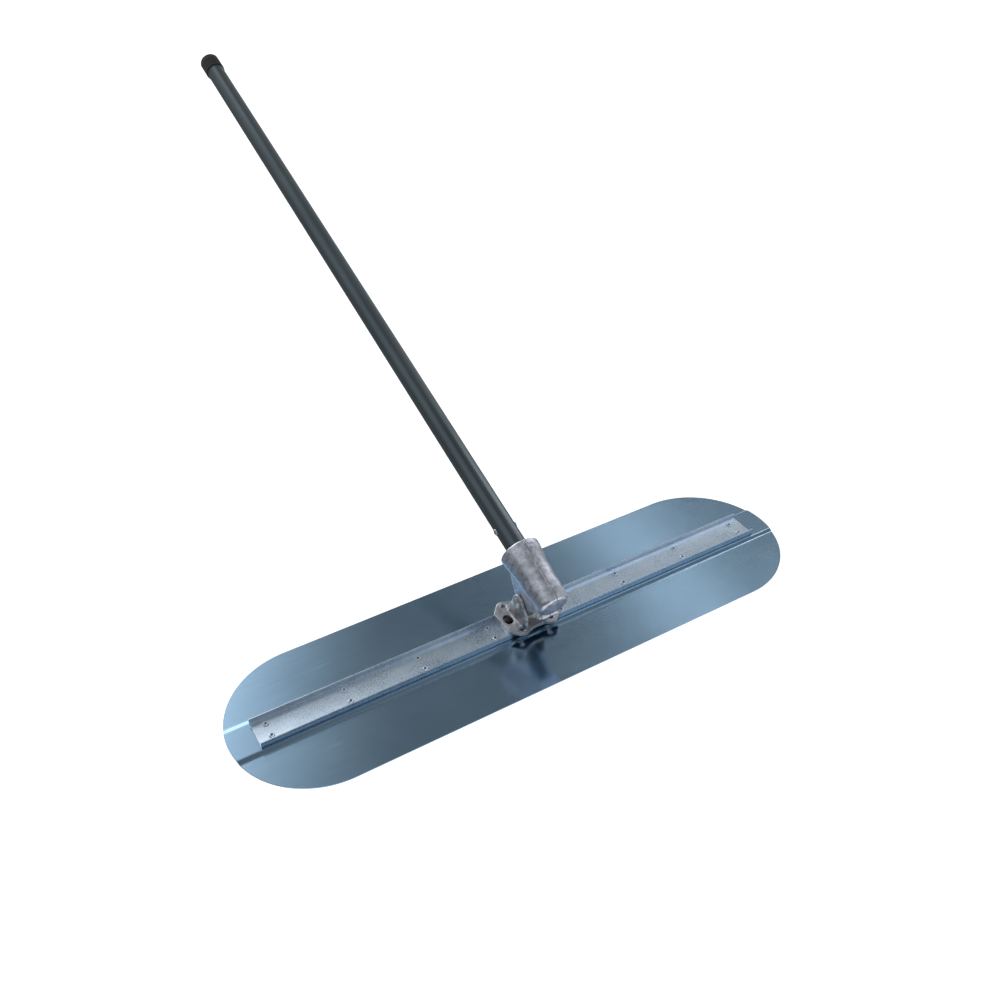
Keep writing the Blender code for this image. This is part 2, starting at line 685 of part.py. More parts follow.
def worm_radius(station, turn):
    """Radius of the single-start thread; a gap faces the gear at station 0."""
    along = (station / WORM_LEAD - turn / (2 * math.pi)) % 1.0
    from_gap = min(along, 1 - along) * WORM_LEAD
    from_crest = WORM_LEAD / 2 - from_gap
    height = (TOOTH_WIDTH / 2 - from_crest) / math.tan(math.radians(TOOTH_FLANK_DEG))
    return WORM_RADIUS + max(-DEDENDUM, min(ADDENDUM + 0.0003, height))


def make_worm(axis, steel):
    """Worm and its shank in one piece; the thread is a lattice wound about the axis."""
    bm = bmesh.new()
    steps = WORM_TURN_STEPS
    rows = 4 * steps // 3
    heights = [-WORM_HALF + 2 * WORM_HALF * i / rows for i in range(rows + 1)]
    rings = []
    for plain_radius, station in ((SHAFT_THREAD, SHAFT_END), (SHAFT_THREAD, JOURNAL_START),
                                  (JOURNAL, JOURNAL_START), (JOURNAL, NECK_START),
                                  (WORM_NECK, NECK_START)):
        rings.append((station, [plain_radius] * steps))
    for z in heights:
        fade = min(1.0, (WORM_HALF - abs(z)) / WORM_FADE)
        radii = []
        for i in range(steps):
            full = worm_radius(z, 2 * math.pi * i / steps - math.pi / 2)
            radii.append(WORM_NECK + (full - WORM_NECK) * fade)
        rings.append((z, radii))
    edge = SHANK_EDGE
    for plain_radius, station in ((WORM_NECK, SHANK_START), (SHANK_RADIUS, SHANK_START),
                                  (SHANK_RADIUS, SHANK_END - edge), (SHANK_RADIUS - edge, SHANK_END)):
        rings.append((station, [plain_radius] * steps))
    loops = []
    for station, radii in rings:
        loop = []
        for i, radius in enumerate(radii):
            a = 2 * math.pi * i / steps
            loop.append(bm.verts.new((radius * math.cos(a), radius * math.sin(a), station)))
        loops.append(loop)
    for a, b in zip(loops, loops[1:]):
        for i in range(steps):
            j = (i + 1) % steps
            bm.faces.new((a[i], a[j], b[j], b[i]))
    bm.faces.new(loops[0][::-1])
    bm.faces.new(loops[-1])
    worm = finish("worm_shaft", bm, axis, steel)
    boolean(worm, rivet_hole("worm_rivet_hole", axis), "DIFFERENCE")
    hex_nut("worm_lock_nut", SHAFT_THREAD + RUNNING, LOCK_NUT_ACROSS, *LOCK_NUT, axis, steel)


def rivet_hole(name, axis):
    through = solid_cylinder(HANDLE_RIVET + RUNNING, -REACH, REACH)
    return turned(name, through, axis, None, 20, False, sideways, (0, 0, HANDLE_RIVET_STATION))


def make_handle(axis, tube_paint, zinc, rubber):
    tube = ring("handle_tube", TUBE_RADIUS - TUBE_WALL, TUBE_RADIUS, TUBE_START,
                TUBE_START + TUBE_LENGTH, axis, tube_paint, 40)
    boolean(tube, rivet_hole("tube_rivet_hole", axis), "DIFFERENCE")
    under = TUBE_RADIUS + GAP
    half = [(0, under - 0.0015), (HANDLE_RIVET_DIMPLE, under - 0.0005)]
    half += [(HANDLE_RIVET_DIMPLE, under + 0.0016), (HANDLE_RIVET_CROWN, under + 0.0019)]
    half += [(HANDLE_RIVET_HEAD, under + 0.0008), (HANDLE_RIVET_HEAD, under), (HANDLE_RIVET, under)]
    profile = [(radius, -height) for radius, height in half] + half[::-1]
    place = (0, 0, HANDLE_RIVET_STATION)
    turned("handle_rivet", profile, axis, zinc, 20, False, sideways, place)

    end = TUBE_START + TUBE_LENGTH
    inside = TUBE_RADIUS + GAP
    closed = end + CAP_CLEARANCE
    cap = [(0, closed), (inside, closed), (inside, end - CAP_DEPTH)]
    cap += [(CAP_RADIUS - CAP_LIP, end - CAP_DEPTH), (CAP_RADIUS, end - CAP_DEPTH + CAP_LIP)]
    cap += [(r, end + h) for r, h in arc(CAP_RADIUS - CAP_ROUND, CAP_LIP, CAP_ROUND, 0, 90, 4)]
    cap += [(0, closed + CAP_ROUND)]
    turned("handle_cap", cap, axis, rubber, 40)


def main():
    remove_everything()
    steel = material("blued spring steel", (0.20, 0.28, 0.34), 0.35, 1.0)
    zinc = material("galvanised steel", (0.62, 0.67, 0.74), 0.40, 1.0)
    casting = material("cast aluminium", (0.66, 0.65, 0.70), 0.50, 1.0)
    dark_steel = material("black oxide steel", (0.05, 0.05, 0.055), 0.50, 1.0)
    bright_steel = material("plated steel", (0.58, 0.62, 0.62), 0.35, 1.0)
    bronze = material("sintered bronze", (0.55, 0.38, 0.18), 0.55, 1.0)
    tube_paint = material("dark anodised tube", (0.05, 0.07, 0.07), 0.35, 0.6)
    rubber = material("black rubber", (0.02, 0.02, 0.02), 0.75, 0.0)

    tool = empty("tool_centre", None, (0, BLADE_SETBACK, 0))
    tilt = empty("tilt_axis", tool, (0, PIVOT_Y, PIVOT_Z), (math.radians(REST_TILT_DEG), 0, 0))
    axis = empty("handle_axis", tilt, (0, 0, CENTRE_DISTANCE), (math.radians(-90), 0, 0))

    make_blade(tool, steel)
    make_channel(tool, zinc)
    make_rivets(tool, zinc)
    make_base(tool, casting)
    make_base_bolts(tool, dark_steel)
    make_sector(tilt, tool, bright_steel)
    make_pivot(tool, bright_steel)
    for side in (-1, 1):
        make_housing(side, axis, casting)
    make_housing_screws(axis, bright_steel)
    make_bushes(axis, bronze, bright_steel)
    make_worm(axis, bright_steel)
    make_handle(axis, tube_paint, zinc, rubber)


main()
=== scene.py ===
"""Round-ended steel finishing trowel on its worm-geared bracket, seen in a plain bright studio."""
import json
import math
import random

import bmesh
import bpy
from mathutils import Matrix, Vector


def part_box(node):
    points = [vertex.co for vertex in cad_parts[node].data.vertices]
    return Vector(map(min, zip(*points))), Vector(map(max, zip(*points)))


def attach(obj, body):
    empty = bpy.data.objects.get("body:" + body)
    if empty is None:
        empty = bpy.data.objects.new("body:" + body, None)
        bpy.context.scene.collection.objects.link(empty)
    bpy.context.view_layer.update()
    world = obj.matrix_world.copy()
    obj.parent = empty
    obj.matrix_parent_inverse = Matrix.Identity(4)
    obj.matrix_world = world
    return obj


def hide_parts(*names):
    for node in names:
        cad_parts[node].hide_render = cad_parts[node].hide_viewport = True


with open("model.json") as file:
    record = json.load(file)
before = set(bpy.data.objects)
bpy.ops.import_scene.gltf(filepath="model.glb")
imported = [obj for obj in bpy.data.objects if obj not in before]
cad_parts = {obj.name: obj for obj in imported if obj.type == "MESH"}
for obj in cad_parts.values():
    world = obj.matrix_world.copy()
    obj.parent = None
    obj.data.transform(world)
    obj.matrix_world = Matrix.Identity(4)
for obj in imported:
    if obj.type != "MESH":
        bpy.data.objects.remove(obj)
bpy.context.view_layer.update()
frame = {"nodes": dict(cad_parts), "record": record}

# ---- Camera: a raised three-quarter view from the front left, as for a catalogue, so that the
# blade lies across it and the handle leads away to the back.
blade_low, blade_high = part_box("blade")
blade_middle = (blade_low + blade_high) / 2
camera_data = bpy.data.cameras.new("camera")
camera_data.sensor_width = 36.0
camera_data.lens = 38.09
camera = bpy.data.objects.new("camera", camera_data)
bpy.context.scene.collection.objects.link(camera)
bpy.context.scene.camera = camera
camera.location = (-0.5930, blade_middle.y - 0.9575, 1.1090)
camera_aim = Vector((0.1182, blade_middle.y + 0.2708, 0.0012))
camera_roll = math.radians(-0.98)
camera.rotation_mode = "QUATERNION"
looking = (camera_aim - camera.location).to_track_quat("-Z", "Y")
camera.rotation_quaternion = looking @ Matrix.Rotation(camera_roll, 3, "Z").to_quaternion()

# ---- Studio: a white floor under a soft surround. A large pale screen on the left and a narrow
# leaning one on the right show in the blade as a bright end and a bright band. A lamp behind the
# camera lights the channel's far wall from inside.
scene = bpy.context.scene
scene.view_settings.view_transform = "Standard"


class Value:
    """A shader value whose arithmetic adds Math nodes to its own tree."""

    def __init__(self, nodes, socket):
        self.nodes = nodes
        self.socket = socket

    def math(self, operation, *others):
        values = {index + 1: other for index, other in enumerate(others)}
        return self.nodes.node("Math", {"operation": operation}, {0: self, **values})

    def __add__(self, other):
        return self.math("ADD", other)

    def __mul__(self, other):
        return self.math("MULTIPLY", other)

    def __sub__(self, other):
        return self.math("SUBTRACT", other)

    def __rsub__(self, other):
        return self * -1 + other

    __radd__ = __add__
    __rmul__ = __mul__


class Nodes:
    """A node tree to which nodes are added one at a time."""

    def __init__(self, tree):
        self.tree = tree

    def plug(self, socket, value):
        if isinstance(value, Value):
            self.tree.links.new(value.socket, socket)
        elif isinstance(value, tuple) and socket.type == "RGBA":
            socket.default_value = (*value[:3], 1.0)
        else:
            socket.default_value = value

    def node(self, kind, settings=None, values=None, output=0):
        """Add a node: its settings first, then the values or links of its sockets."""
        made = self.tree.nodes.new("ShaderNode" + kind)
        for setting, choice in (settings or {}).items():
            setattr(made, setting, choice)
        for socket, value in (values or {}).items():
            self.plug(made.inputs[socket], value)
        return Value(self, made.outputs[output])

    def step(self, value, start, end):
        """0 at the start and 1 at the end, with a soft rise between."""
        values = {"Value": value, "From Min": start, "From Max": end}
        return self.node("MapRange", {"interpolation_type": "SMOOTHSTEP"}, values)

    def blend(self, share, low, high):
        """Colour between two colours."""
        return self.node("Mix", {"data_type": "RGBA"}, {0: share, 6: low, 7: high}, 2)


world = bpy.data.worlds.new("studio surround")
scene.world = world
world.use_nodes = True
surround = Nodes(world.node_tree)
way = surround.node("TexCoord", output="Generated")
east = surround.node("SeparateXYZ", None, {0: way}, "X")
north = surround.node("SeparateXYZ", None, {0: way}, "Y")
rise = surround.node("SeparateXYZ", None, {0: way}, "Z")
bearing = east.math("ARCTAN2", north)


def facing(start, end):
    """0 at one bearing and 1 at the other, in degrees to the right of straight ahead."""
    return surround.step(bearing, math.radians(start), math.radians(end))


def raised(start, end):
    """0 at one height of the sky and 1 at the other: 0 is the horizon, 1 is overhead."""
    return surround.step(rise, start, end)


BAND_RISE = 0.66
BAND_BEARING = 41.3
BAND_LEAN = 113  # degrees of bearing for a unit of rise
LAMP_BEARING = 136
LAMP_RISE = 0.714
left_screen = facing(20, -4) * facing(-32, -12) * raised(0.93, 0.55)
above_floor = raised(-0.12, 0.12)
band_offset = math.radians(BAND_LEAN * BAND_RISE - BAND_BEARING)
off_band = (bearing - rise * math.radians(BAND_LEAN) + band_offset).math("ABSOLUTE")
band = surround.step(off_band, math.radians(2.8), 0) * raised(0.85, 0.70) * raised(0.45, 0.58)
right_wall = facing(26, 52) * facing(130, 70)
horizon = raised(0.35, 0.08) * raised(-0.25, -0.05) * facing(0, 30)
left_wall = facing(-25, -60) * raised(0.20, 0.60) * raised(0.985, 0.93)
behind = surround.step(bearing.math("ABSOLUTE"), math.radians(100), math.radians(135))
near_floor = behind * raised(-0.10, -0.35)
off_lamp = (bearing - math.radians(LAMP_BEARING)).math("ABSOLUTE")
back_lamp = surround.step(off_lamp, math.radians(20), math.radians(6))
back_lamp = back_lamp * surround.step((rise - LAMP_RISE).math("ABSOLUTE"), 0.16, 0.06)
glow = 0.19 + above_floor * (left_screen * 3.8 + band * 2.4 + right_wall * 0.14)
glow = glow + horizon * 0.50 + left_wall * 0.42 + near_floor * 0.95 + back_lamp * 2.0
backdrop = world.node_tree.nodes["Background"]
backdrop.inputs["Color"].default_value = (0.92, 0.97, 1.0, 1.0)
surround.plug(backdrop.inputs["Strength"], glow)

strip_light = bpy.data.lights.new("side strip", "AREA")
strip_light.shape = "RECTANGLE"
strip_light.size = 0.22
strip_light.size_y = 2.0
strip_light.energy = 6
side_strip = bpy.data.objects.new("side strip", strip_light)
scene.collection.objects.link(side_strip)
side_strip.location = (2.1, 0.9, 1.5)
side_strip.rotation_mode = "QUATERNION"
toward_bracket = Vector((0.0, 0.2, 0.1)) - side_strip.location
side_strip.rotation_quaternion = toward_bracket.to_track_quat("-Z", "Y")

floor_mesh = bpy.data.meshes.new("floor")
bm = bmesh.new()
bmesh.ops.create_grid(bm, x_segments=1, y_segments=1, size=20)
bm.to_mesh(floor_mesh)
bm.free()
floor = bpy.data.objects.new("floor", floor_mesh)
floor.location.z = blade_low.z - 0.0005
scene.collection.objects.link(floor)
floor_material = bpy.data.materials.new("white floor")
floor_material.use_nodes = True
floor_shader = Nodes(floor_material.node_tree)
floor_sockets = floor_material.node_tree.nodes["Principled BSDF"].inputs
grain = floor_shader.node("TexNoise", None, {"Scale": 3.0, "Detail": 2.0})
paper = floor_shader.blend(grain, (0.60, 0.60, 0.60), (0.64, 0.64, 0.64))
floor_shader.plug(floor_sockets["Base Color"], paper)
floor_sockets["Roughness"].default_value = 0.9
floor_sockets["Specular IOR Level"].default_value = 0.1
floor_sockets["Emission Color"].default_value = (1.0, 1.0, 1.0, 1.0)
floor_sockets["Emission Strength"].default_value = 0.92
floor_mesh.materials.append(floor_material)
floor.visible_glossy = False

# ---- Blade: one sheet of thin blued spring steel, 36 in by 10 in with full-round ends, dressed
# along its length. A low flat-topped rib is pressed up along the middle to stiffen it.


class Finish(Nodes):
    """One surface finish: a material, its Principled shader and what feeds it."""

    def __init__(self, name, metallic):
        self.material = bpy.data.materials.new(name)
        self.material.use_nodes = True
        super().__init__(self.material.node_tree)
        self.sockets = self.tree.nodes["Principled BSDF"].inputs
        self.sockets["Metallic"].default_value = metallic
        self.spot = self.node("TexCoord", output="Object")

    def colour(self, value):
        self.plug(self.sockets["Base Color"], value)

    def roughness(self, value):
        self.plug(self.sockets["Roughness"], value)

    def relief(self, height, strength, distance):
        values = {"Height": height, "Strength": strength, "Distance": distance}
        self.plug(self.sockets["Normal"], self.node("Bump", None, values))

    def stretched(self, stretch):
        return self.node("VectorMath", {"operation": "MULTIPLY"}, {0: self.spot, 1: stretch})

    def noise(self, scale, detail=3.0, stretch=(1, 1, 1), distortion=0.0):
        """Cloudy value round 0.5; the scale is per metre, the stretch per axis."""
        values = {"Vector": self.stretched(stretch), "Scale": scale, "Detail": detail}
        return self.node("TexNoise", None, {**values, "Distortion": distortion})

    def crystals(self, scale):
        """One random value to each crystal of a coating."""
        values = {"Vector": self.spot, "Scale": scale, "Randomness": 1.0}
        cell = self.node("TexVoronoi", None, values, "Color")
        return self.node("SeparateColor", None, {0: cell})

    def scratches(self, scale, stretch):
        """Thin lines where a slow cloud passes its middle value."""
        near = (self.noise(scale, 2.0, stretch, distortion=1.5) - 0.5).math("ABSOLUTE")
        return self.step(near, 0.010, 0.0)


def new_piece(name, bm, finish, body, node, bevel=0.0, placed=None, smooth=40):
    """A piece made here that stands for the named CAD node and rides on a body."""
    bmesh.ops.recalc_face_normals(bm, faces=bm.faces)
    mesh = bpy.data.meshes.new(name)
    bm.to_mesh(mesh)
    bm.free()
    mesh.shade_smooth()
    mesh.set_sharp_from_angle(angle=math.radians(smooth))
    mesh.materials.append(finish.material)
    made = bpy.data.objects.new(name, mesh)
    scene.collection.objects.link(made)
    if placed:
        made.matrix_world = placed
        bpy.context.view_layer.update()
    if bevel:
        broken_edges(made, bevel)
    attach(made, body)
    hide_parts(node)


def broken_edges(made, width):
    """Sharp edges are eased a little, as on any handled piece."""
    ease = made.modifiers.new("broken edges", "BEVEL")
    ease.width = width
    ease.segments = 2
    ease.limit_method = "ANGLE"
    ease.angle_limit = math.radians(35)
    ease.harden_normals = True


BLADE_THICKNESS = 0.0012
RIB_HEIGHT = 0.0024
RIB_TOP_HALF = 0.0258
RIB_FOOT_HALF = 0.0332
RIB_SLOPE_STEPS = 14
END_STEPS = 60  # rows of points from the middle line to each edge, closer at the edge
blade_half = (blade_high - blade_low) / 2


def rib_rise(across):
    share = (RIB_FOOT_HALF - abs(across)) / (RIB_FOOT_HALF - RIB_TOP_HALF)
    share = min(1.0, max(0.0, share))
    return RIB_HEIGHT * share * share * (3 - 2 * share)


turns = [math.radians(90 * i / END_STEPS) for i in range(-END_STEPS, END_STEPS + 1)]
rows = {round(blade_half.y * math.sin(turn), 6) for turn in turns}
rows = {y for y in rows if not RIB_TOP_HALF < abs(y) < RIB_FOOT_HALF}
for i in range(RIB_SLOPE_STEPS + 1):
    y = RIB_TOP_HALF + (RIB_FOOT_HALF - RIB_TOP_HALF) * i / RIB_SLOPE_STEPS
    rows |= {round(y, 6), round(-y, 6)}
bm = bmesh.new()
faces = []
for lift in (0.0, BLADE_THICKNESS):
    sheet = []
    for y in sorted(rows):
        round_end = math.sqrt(max(0.0, blade_half.y**2 - y**2))
        reach = blade_half.x - blade_half.y + round_end
        z = blade_low.z + rib_rise(y) + lift
        sheet.append([bm.verts.new((x, blade_middle.y + y, z)) for x in (-reach, reach)])
    faces.append(sheet)
    for a, b in zip(sheet, sheet[1:]):
        bm.faces.new((a[0], a[1], b[1], b[0]))
under, over = faces
for i in range(len(under) - 1):
    for end in (0, 1):
        bm.faces.new((under[i][end], under[i + 1][end], over[i + 1][end], over[i][end]))
for i in (0, -1):
    bm.faces.new((under[i][0], under[i][1], over[i][1], over[i][0]))

DEEP_BLUE = (0.270, 0.410, 0.550)
PALE_BLUE = (0.385, 0.550, 0.715)
SCRATCH_BLUE = (0.62, 0.72, 0.82)
blued = Finish("blued spring steel", 1.0)
dressing = blued.noise(1400, 4.0, (0.012, 1.0, 1.0))
coarse_dressing = blued.noise(240, 3.0, (0.02, 1.0, 1.0))
clouds = blued.noise(7, 4.0)
marks = blued.scratches(60, (0.05, 1.3, 1.0)) * blued.step(blued.noise(14, 2.0), 0.48, 0.66)
tone = clouds * 0.5 + coarse_dressing * 0.25 + dressing * 0.25
steel = blued.blend(tone, DEEP_BLUE, PALE_BLUE)
blued.colour(blued.blend(marks * 0.14, steel, SCRATCH_BLUE))
blued.roughness(0.095 + dressing * 0.08 + clouds * 0.07 + marks * 0.05)
blued.relief(dressing * 0.6 + coarse_dressing * 0.5 + marks * 0.2, 0.16, 0.0003)
new_piece("blade_sheet", bm, blued, "blade_assembly", "blade", bevel=0.00035)

# ---- Mounting channel: roll-formed galvanised steel, 33 in long, open upwards. It lies on the
# rib, its bends are tight, and its sawn ends show the thickness of the strip. Its floor is
# painted near black under the bracket's base plate, as a painted shadow of the plate.
ZINC_SHADE = (0.370, 0.490, 0.660)
ZINC_BRIGHT = (0.860, 0.940, 1.000)
PLATE_SHADOW_COLOUR = (0.02, 0.02, 0.022)
zinc = Finish("galvanised steel", 1.0)
spangle = zinc.crystals(85)
fine_spangle = zinc.step(zinc.noise(650, 3.0), 0.25, 0.75)
drawn = zinc.noise(900, 3.0, (0.02, 1.0, 1.0))
stain = zinc.noise(16, 4.0)
bloom = spangle * 0.14 + fine_spangle * 0.26 + drawn * 0.22 + stain * 0.38
foot_low, foot_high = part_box("bracket_base")
# Painted shadow: the floor within the base plate's footprint is darkened, fading in over a twelfth
# of its size at the rim.
painted_plate_shadow = 1
for axis, low, high in (("X", foot_low.x, foot_high.x), ("Y", foot_low.y, foot_high.y)):
    place = zinc.node("SeparateXYZ", None, {0: zinc.spot}, axis)
    rim = (high - low) / 12
    painted_plate_shadow = zinc.step(place, low, low + rim) * zinc.step(place, high, high - rim) * painted_plate_shadow
zinc.colour(zinc.blend(painted_plate_shadow * 0.9, zinc.blend(bloom, ZINC_SHADE, ZINC_BRIGHT), PLATE_SHADOW_COLOUR))
zinc.roughness(0.16 + fine_spangle * 0.08 + stain * 0.14 + drawn * 0.06)
zinc.relief(fine_spangle * 0.3 + drawn * 0.6, 0.12, 0.0003)

channel_low, channel_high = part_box("mounting_channel")
CHANNEL_THICKNESS = 0.0018
CHANNEL_BEND = 0.0026


def arc(across, up, radius, start, end, steps):
    """Points on an arc, both ends included; the angles are in degrees."""
    points = []
    for i in range(steps + 1):
        a = math.radians(start + (end - start) * i / steps)
        points.append((across + radius * math.cos(a), up + radius * math.sin(a)))
    return points


half = (channel_high.y - channel_low.y) / 2
bend = channel_low.z + CHANNEL_BEND
inside = CHANNEL_BEND - CHANNEL_THICKNESS
section = [(-half, channel_high.z)] + arc(CHANNEL_BEND - half, bend, CHANNEL_BEND, 180, 270, 8)
section += arc(half - CHANNEL_BEND, bend, CHANNEL_BEND, 270, 360, 8)
section += [(half, channel_high.z), (half - CHANNEL_THICKNESS, channel_high.z)]
section += arc(half - CHANNEL_BEND, bend, inside, 360, 270, 6)
section += arc(CHANNEL_BEND - half, bend, inside, 270, 180, 6)
section += [(CHANNEL_THICKNESS - half, channel_high.z)]
bm = bmesh.new()
ends = []
for x in (channel_low.x, channel_high.x):
    ends.append([bm.verts.new((x, blade_middle.y + y, z)) for y, z in section])
for i in range(len(section)):
    j = (i + 1) % len(section)
    bm.faces.new((ends[0][i], ends[0][j], ends[1][j], ends[1][i]))
bm.faces.new(ends[0])
bm.faces.new(ends[1])
new_piece("channel_strip", bm, zinc, "blade_assembly", "mounting_channel",
          bevel=0.00025, smooth=25)

# ---- Rivets: two rows of eight zinc-plated rivets through channel and rib. Setting leaves a
# shallow ring round a dimple on each head and a flat tail under the rib.
CHANNEL_FLOOR = channel_low.z + CHANNEL_THICKNESS
RIVET_SHANK = 0.0020
RIVET_TAIL = 0.0036
RIVET_TAIL_HEIGHT = 0.0012
rivet_zinc = Finish("set rivet zinc", 1.0)
hammered = rivet_zinc.noise(900, 3.0)
plating = rivet_zinc.blend(hammered, (0.55, 0.62, 0.70), (0.90, 0.94, 1.00))
flat_spot = rivet_zinc.stretched((1, 1, 0))
from_axis = rivet_zinc.node("VectorMath", {"operation": "LENGTH"}, {0: flat_spot}, "Value")
# The dimple at the middle of each head is painted dark: painted shade in the recess.
painted_dimple_shade = rivet_zinc.step(from_axis, 0.0024, 0.0015)
rivet_zinc.colour(rivet_zinc.blend(painted_dimple_shade * 0.9, plating, (0.05, 0.05, 0.06)))
rivet_zinc.roughness(0.22 + hammered * 0.22)
rivet_zinc.relief(hammered, 0.25, 0.0003)


def turned(profile, steps):
    """Turn a profile of (radius, height) points into a closed body."""
    bm = bmesh.new()
    loops = []
    for radius, height in profile:
        if radius == 0:
            loops.append([bm.verts.new((0, 0, height))] * steps)
            continue
        turns = [2 * math.pi * i / steps for i in range(steps)]
        ring = [(radius * math.cos(turn), radius * math.sin(turn), height) for turn in turns]
        loops.append([bm.verts.new(point) for point in ring])
    pairs = list(zip(loops, loops[1:]))
    if profile[0][0] and profile[-1][0]:
        pairs.append((loops[-1], loops[0]))
    for a, b in pairs:
        for i in range(steps):
            j = (i + 1) % steps
            bm.faces.new(list(dict.fromkeys((a[i], a[j], b[j], b[i]))))
    return bm


shape_random = random.Random(7)
for number in range(1, 17):
    node = f"rivet_{number:02d}"
    low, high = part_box(node)
    middle = (low + high) / 2
    radius = (high.x - low.x) / 2
    seat = CHANNEL_FLOOR + 0.0002 - low.z
    top = high.z - low.z
    dish = shape_random.uniform(0.36, 0.46) * radius
    profile = [(0, 0), (RIVET_TAIL - 0.0003, 0), (RIVET_TAIL, 0.0003)]
    profile += [(RIVET_TAIL, RIVET_TAIL_HEIGHT), (RIVET_SHANK, RIVET_TAIL_HEIGHT)]
    profile += [(RIVET_SHANK, seat), (radius, seat), (radius, seat + 0.0004)]
    profile += [(radius * 0.93, top * 0.86), (radius * 0.80, top - 0.0002)]
    profile += [(radius * 0.66, top), (dish + 0.0004, top - 0.0002)]
    profile += [(dish, top - 0.0011), (0, top - 0.0013)]
    turn = Matrix.Rotation(shape_random.uniform(0, 1), 4, "Z")
    new_piece(f"set_{node}", turned(profile, 28), rivet_zinc, "blade_assembly", node,
              placed=Matrix.Translation((middle.x, middle.y, low.z)) @ turn, smooth=50)

# ---- Bracket base: one aluminium casting. Its foot lies in the channel, its dog-bone plate sits
# above the walls with a hole at each corner, and two ears stand up to hold the tilt pivot. The
# sand-cast skin is mottled and slightly warm in tone, with every edge rounded.
PAINTED_CORNER_SHADE = (0.10, 0.10, 0.11)
WORN_EDGE_AND_HIGHLIGHT = (0.93, 0.92, 0.92)


def cast_finish(name, low_tone, high_tone, dark_tone):
    """Aluminium casting: mottled skin, darker cloudy patches, painted shade in the inside corners,
    and edges lightened by wear and a painted highlight.
    """
    cast = Finish(name, 1.0)
    mottle = cast.step(cast.noise(150, 5.0, distortion=0.6), 0.26, 0.76)
    patches = cast.step(cast.noise(28, 3.0, distortion=0.4), 0.46, 0.66)
    grit = cast.noise(1500, 2.0)
    skin = cast.blend(mottle, low_tone, high_tone)
    skin = cast.blend(patches * 0.42, skin, dark_tone)
    curve = cast.node("NewGeometry", output="Pointiness")
    # Hollows and inside corners are darkened by pointiness: painted shade.
    skin = cast.blend(cast.step(curve, 0.49, 0.44) * 0.6, skin, PAINTED_CORNER_SHADE)
    # Sharp outside edges are lightened by pointiness: partly wear, partly a painted highlight.
    cast.colour(cast.blend(cast.step(curve, 0.52, 0.57) * 0.7, skin, WORN_EDGE_AND_HIGHLIGHT))
    cast.roughness(0.26 + mottle * 0.14 + patches * 0.10 + grit * 0.05)
    cast.relief(grit * 0.35 + mottle * 0.9, 0.30, 0.0005)
    return cast


def show(node, finish, bevel=0.0):
    """Put a finish on a CAD node whose shape is right as it is."""
    made = frame["nodes"][node]
    made.data.materials.clear()
    made.data.materials.append(finish.material)
    if bevel:
        broken_edges(made, bevel)


def softened(node, finish, voxel, rounds):
    """A casting keeps its CAD shape with all its edges and inside corners rounded over."""
    made = frame["nodes"][node]
    skin = made.modifiers.new("even skin", "REMESH")
    skin.mode = "VOXEL"
    skin.voxel_size = voxel
    skin.use_smooth_shade = True
    round_over = made.modifiers.new("rounded edges", "SMOOTH")
    round_over.factor = 0.5
    round_over.iterations = rounds
    show(node, finish)


WARM_TONES = (0.405, 0.400, 0.430), (0.760, 0.750, 0.785), (0.20, 0.200, 0.218)
warm_cast = cast_finish("base casting", *WARM_TONES)
softened("bracket_base", warm_cast, 0.0007, 6)

# ---- Base bolts: two black-oxide hex bolts with washers sit in the base's oval pockets and pass
# through channel and rib to thin round nuts underneath.
black = Finish("black oxide steel", 1.0)
oxide = black.noise(260, 4.0)
rubbed = black.step(black.noise(700, 3.0), 0.56, 0.74)
black.colour(black.blend(rubbed * 0.5, (0.035, 0.037, 0.042), (0.20, 0.21, 0.23)))
black.roughness(0.34 + oxide * 0.22)
black.relief(oxide, 0.15, 0.0003)


HEX_STEPS = 72


def hex_head(across_flats, low, top, hole=0.0):
    """Hexagon with its corners chamfered by a cone, from low up to top; a hole makes it a nut."""
    apothem = across_flats / 2
    flat = apothem * 0.96
    rings = [[], [], []]
    for i in range(HEX_STEPS):
        turn = 2 * math.pi * i / HEX_STEPS
        off_flat = (turn + math.pi / 6) % (math.pi / 3) - math.pi / 6
        radius = apothem / math.cos(off_flat)
        fall = max(0.0, radius - apothem * 0.97) * math.tan(math.radians(30))
        rings[0].append((radius * math.cos(turn), radius * math.sin(turn), low))
        rings[1].append((radius * math.cos(turn), radius * math.sin(turn), top - fall))
        rings[2].append((flat * math.cos(turn), flat * math.sin(turn), top))
    if hole:
        for height in (top, low):
            rings.append([(hole * x / flat, hole * y / flat, height) for x, y, _ in rings[2]])
    bm = bmesh.new()
    loops = [[bm.verts.new(point) for point in ring] for ring in rings]
    pairs = list(zip(loops, loops[1:]))
    if hole:
        pairs.append((loops[-1], loops[0]))
    else:
        bm.faces.new(loops[0])
        bm.faces.new(loops[-1])
    for a, b in pairs:
        for i in range(HEX_STEPS):
            j = (i + 1) % HEX_STEPS
            bm.faces.new((a[i], a[j], b[j], b[i]))
    return bm


def joined(bm, other):
    """One mesh from two bodies."""
    mesh = bpy.data.meshes.new("joined")
    other.to_mesh(mesh)
    other.free()
    bm.from_mesh(mesh)
    bpy.data.meshes.remove(mesh)
    return bm


